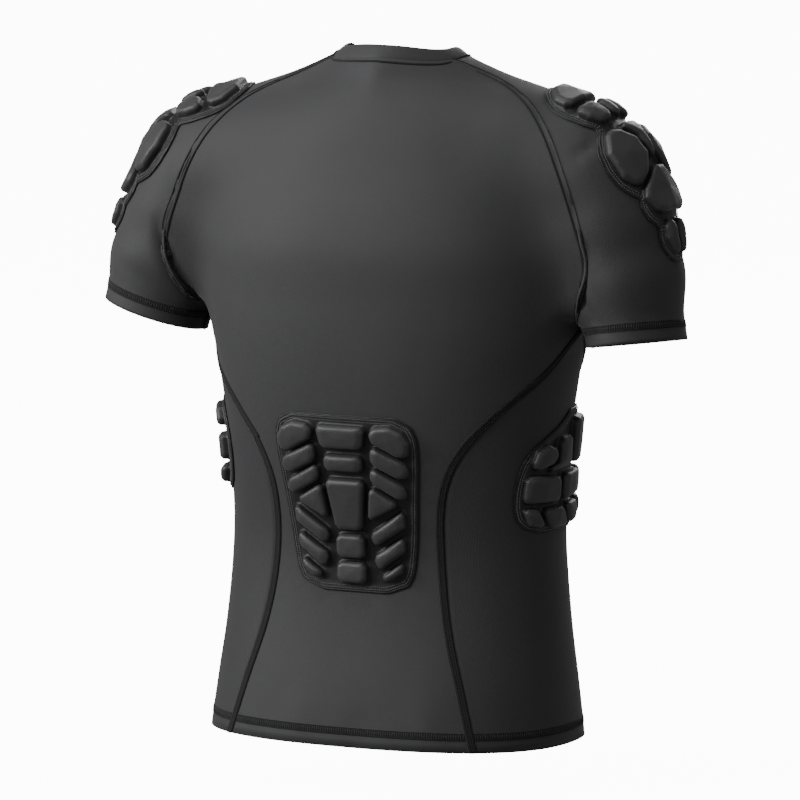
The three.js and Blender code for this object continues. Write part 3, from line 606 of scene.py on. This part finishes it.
# Hem and cuffs: a fold with a row of cover stitch above it
hemBand = dict(
    inset=15.2, step=3.0,
    profile=[
        (-3.8, 0.0), (-3.5, 0.45), (-2.9, 0.3), (2.9, 0.3),
        (3.5, 0.45), (3.8, 0.0), (3.0, -0.4), (-3.0, -0.4),
    ],
    rows=[(0, 0.3, 90)],
    pitch=2.3,
    shape=(6.4, 1.15, 0.7),
    swing=3,
)
hemRuns = {
    "hem_back": ("back_panel", (-132, 107, -648), (140, 105, -648), (0, 121, -648)),
    "hem_left": ("side_panel_left", (140, 105, -648), (141, -96, -648), (183, 0, -648)),
    "hem_front": ("front_panel", (141, -96, -648), (-141, -96, -648), (0, -112, -648)),
    "hem_right": ("side_panel_right", (-141, -96, -648), (-132, 107, -648), (-183, 0, -648)),
    "cuff_left": ("sleeve_left", (210, 5, -276), (210, 3, -276), (310, 5, -250)),
    "cuff_right": ("sleeve_right", (-205, 5, -270), (-205, 3, -270), (-300, 5, -256)),
}
for hemName, run in hemRuns.items():
    edge = evened(borderPath(*run), hemBand["step"])
    middleSide = stations(edge)[len(edge) // 2][2]
    up = 1 if middleSide.z > 0 else -1
    inner = evened(besidePath(edge, hemBand["inset"] * up), hemBand["step"])
    stitch("stitches_" + hemName, inner, hemBand["rows"], hemBand["pitch"], hemBand["shape"],
           threadDark, "cloth", swing=hemBand["swing"])
    sweep("band_" + hemName, inner, hemBand["profile"], seamMaterial, "cloth")
print("hems made", len(hemRuns))

# Collar
collarShape = dict(levels=2)
bm = mergedCopy("collar")
joinedToQuads(bm)
collarMesh = smoothed(meshFrom(bm, "collar_coarse"), collarShape["levels"])
collarMesh.name = "collar_band"
collar = newObject("collar_band", collarMesh, collarMaterial, "collar_band")
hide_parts("collar")

# Cloth shells
for nodeName, piece in clothPieces.items():
    skin = skins[nodeName]
    mapKnit(skin, nodeName)
    shell = newObject(piece["shell"], skin, clothMaterials[piece["slot"]], piece["slot"])
    wall = shell.modifiers.new("wall", "SOLIDIFY")
    wall.thickness = clothShell["wall"] * mm
    wall.offset = -1
    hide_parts(nodeName)

# Pads: lengths in millimetres, heights above the cloth
padShape = dict(
    voxel=1.15, rounds=4, smooth=0.5,
    sink=1.0, swell=0.5,
    # painted shade: cover heights over which the grooves fade from the painted shade colour to the full
    # colour
    grooveShade=(3.4, 9.0),
    # along the outline the shade attribute is kept at least at the rim shade, fading out over fade
    # millimetres beyond width minus fade
    rim=dict(width=9.5, fade=3, shade=0.4),
    under=dict(facing=-0.6, height=2.2),
)
padStitch = dict(rows=[2.7, 5.2], height=2.75, pitch=2.2, shape=(1.5, 1.2, 1.0))
padEdge = dict(step=2.0, rounds=3, radius=0.95, inset=0.4, height=1.1, sides=8)
padNodes = ["tail_pad", "rib_pad_left", "rib_pad_right", "shoulder_pad_left", "shoulder_pad_right"]


# The outline of a pad, where the underside of its cover ends
def padOutline(nodeName):
    bm = mergedCopy(nodeName)
    under = set()
    for f in bm.faces:
        middle = f.calc_center_median()
        place, normal = onCloth(middle)
        low = (middle - place).dot(normal) < padShape["under"]["height"] * mm
        if low and f.normal.dot(normal) < padShape["under"]["facing"]:
            under.add(f)
    bmesh.ops.delete(bm, geom=[f for f in bm.faces if f not in under], context="FACES")
    longest = []
    rims = [e for e in bm.edges if e.is_boundary]
    left = set(rims)
    for edge in rims:
        if edge not in left:
            continue
        left.discard(edge)
        loop = list(edge.verts)
        while True:
            step = next((e for e in loop[-1].link_edges if e in left), None)
            if step is None:
                break
            left.discard(step)
            loop.append(step.other_vert(loop[-1]))
        if len(loop) > len(longest):
            longest = loop
    path = [onCloth(v.co) for v in longest[:-1]]
    bm.free()
    return evened(path, padEdge["step"], padEdge["rounds"], closed=True)


# Rounded off and pressed down; the shade attribute is a painted shade mask, 0 in the grooves and 1 on the
# blocks, and at least the rim shade in the band along the outline
def padCover(nodeName, outline):
    rough = meshFrom(mergedCopy(nodeName), nodeName + "_rough")
    fine = evaluated(rough, "REMESH", mode="VOXEL", voxel_size=padShape["voxel"] * mm)
    bm = bmesh.new()
    bm.from_mesh(fine)
    for _ in range(padShape["rounds"]):
        bmesh.ops.smooth_vert(
            bm, verts=bm.verts, factor=padShape["smooth"], use_axis_x=True, use_axis_y=True, use_axis_z=True
        )
    rim = KDTree(len(outline))
    for k, (place, _) in enumerate(outline):
        rim.insert(place, k)
    rim.balance()
    shade = bm.verts.layers.float.new("shade")
    bm.normal_update()
    low, high = padShape["grooveShade"]
    width, fade, rimShade = (padShape["rim"][k] for k in ("width", "fade", "shade"))
    for v in bm.verts:
        place, normal = onCloth(v.co)
        height = (v.co - place).dot(normal) / mm
        raised = min(1, max(0, (height - low) / (high - low)))
        fromRim = min(1, max(0, (rim.find(place)[2] / mm - width + fade) / fade))
        v[shade] = max(raised, rimShade - rimShade * fromRim)
        v.co += v.normal * (padShape["swell"] * raised * mm) - normal * (padShape["sink"] * mm)
    pad = newObject(nodeName + "_cover", meshFrom(bm, nodeName + "_cover"), padMaterial, "pad")
    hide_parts(nodeName)
    return pad


for nodeName in padNodes:
    outline = padOutline(nodeName)
    pad = padCover(nodeName, outline)
    middle = sum((place for place, _ in outline), Vector()) / len(outline)
    turns = sum((middle - place).dot(side) for place, _, side, _ in stations(outline, True))
    inward = 1 if turns > 0 else -1
    rows = [(across * inward, padStitch["height"], 0) for across in padStitch["rows"]]
    stitch(nodeName + "_stitches", outline, rows, padStitch["pitch"], padStitch["shape"],
           threadLight, "pad", closed=True)
    angles = [k * 2 * math.pi / padEdge["sides"] for k in range(padEdge["sides"])]
    profile = [
        ((math.cos(a) * padEdge["radius"] + padEdge["inset"]) * inward,
         math.sin(a) * padEdge["radius"] + padEdge["height"])
        for a in angles
    ]
    # painted shade: the edge bead has no shade attribute, so padMaterial draws it all in the near-black
    # groove colour, a dark line of painted shade along the pad's outline
    sweep(nodeName + "_edge", outline, profile, padMaterial, "pad", closed=True)
    print("pad", nodeName, len(pad.data.polygons))

# Floor: white in the picture only, so it throws no light on the shirt

floorLook = dict(
    size=60, place=(0, 0, -0.70), colour=(0.9, 0.9, 0.9), roughness=0.9,
    light=(1, 1, 1), glow=12,
)


def stagePlane(name, look):
    bm = bmesh.new()
    bmesh.ops.create_grid(bm, x_segments=1, y_segments=1, size=look["size"])
    bmesh.ops.translate(bm, vec=look["place"], verts=bm.verts)
    material, nodes, links = nodeMaterial(name)
    shader = nodes["Principled BSDF"]
    shader.inputs["Base Color"].default_value = (*look["colour"], 1)
    shader.inputs["Roughness"].default_value = look["roughness"]
    shader.inputs["Emission Color"].default_value = (*look["light"], 1)
    shader.inputs["Emission Strength"].default_value = look["glow"]
    plane = newObject(name, meshFrom(bm, name), material, None, smooth=False)
    plane.visible_diffuse = False
    plane.visible_glossy = False


stagePlane("floor", floorLook)

# Lights
lights = {
    "key": dict(place=(1.4, 2.3, 1.5), aim=(0, 0, -0.25), size=0.9, power=43),
    "left": dict(place=(2.4, 1.5, 0.5), aim=(0, 0, -0.3), size=1.2, power=44),
    "top": dict(place=(0.3, 0.7, 2.2), aim=(0, 0, -0.1), size=0.8, power=16),
    "right": dict(place=(-2.8, 0.9, 0.5), aim=(0, 0, -0.3), size=1.4, power=3),
    "front": dict(place=(0.4, -3.2, 1.2), aim=(0, 0, -0.3), size=2.0, power=45),
}
for lightName, light in lights.items():
    data = bpy.data.lights.new(lightName, "AREA")
    data.shape = "DISK"
    data.size = light["size"]
    data.energy = light["power"]
    lamp = bpy.data.objects.new(lightName, data)
    bpy.context.scene.collection.objects.link(lamp)
    lamp.location = light["place"]
    aim = Vector(light["aim"]) - Vector(light["place"])
    lamp.rotation_euler = aim.to_track_quat("-Z", "Y").to_euler()

# World: bright to the camera, dim on the shirt
studio = dict(onShirt=0.2, toCamera=12)
world = bpy.data.worlds.new("studio")
bpy.context.scene.world = world
world.use_nodes = True
worldNodes, worldLinks = world.node_tree.nodes, world.node_tree.links
rays = worldNodes.new("ShaderNodeLightPath")
brightness = worldNodes.new("ShaderNodeMapRange")
brightness.inputs["To Min"].default_value = studio["onShirt"]
brightness.inputs["To Max"].default_value = studio["toCamera"]
worldLinks.new(rays.outputs["Is Camera Ray"], brightness.inputs["Value"])
worldLinks.new(brightness.outputs["Result"], worldNodes["Background"].inputs["Strength"])
worldNodes["Background"].inputs["Color"].default_value = (1, 1, 1, 1)

# Camera: azimuth and elevation in degrees round the aim, a long lens
photoView = dict(
    azimuth=206, elevation=8, aim=(0, 0, -0.333), distance=9.0,
    lens=426.3, sensor=36, shift=(0.0019, 0.0005), reach=200,
)
azimuth, elevation = (math.radians(photoView[k]) for k in ("azimuth", "elevation"))
level = math.cos(elevation)
back = Vector((math.sin(azimuth) * level, -math.cos(azimuth) * level, math.sin(elevation)))
cameraData = bpy.data.cameras.new("camera")
cameraData.lens = photoView["lens"]
cameraData.sensor_width = photoView["sensor"]
cameraData.shift_x, cameraData.shift_y = photoView["shift"]
cameraData.clip_end = photoView["reach"]
camera = bpy.data.objects.new("camera", cameraData)
bpy.context.scene.collection.objects.link(camera)
camera.location = Vector(photoView["aim"]) + back * photoView["distance"]
camera.rotation_euler = (-back).to_track_quat("-Z", "Y").to_euler()
bpy.context.scene.camera = camera
print("camera set")
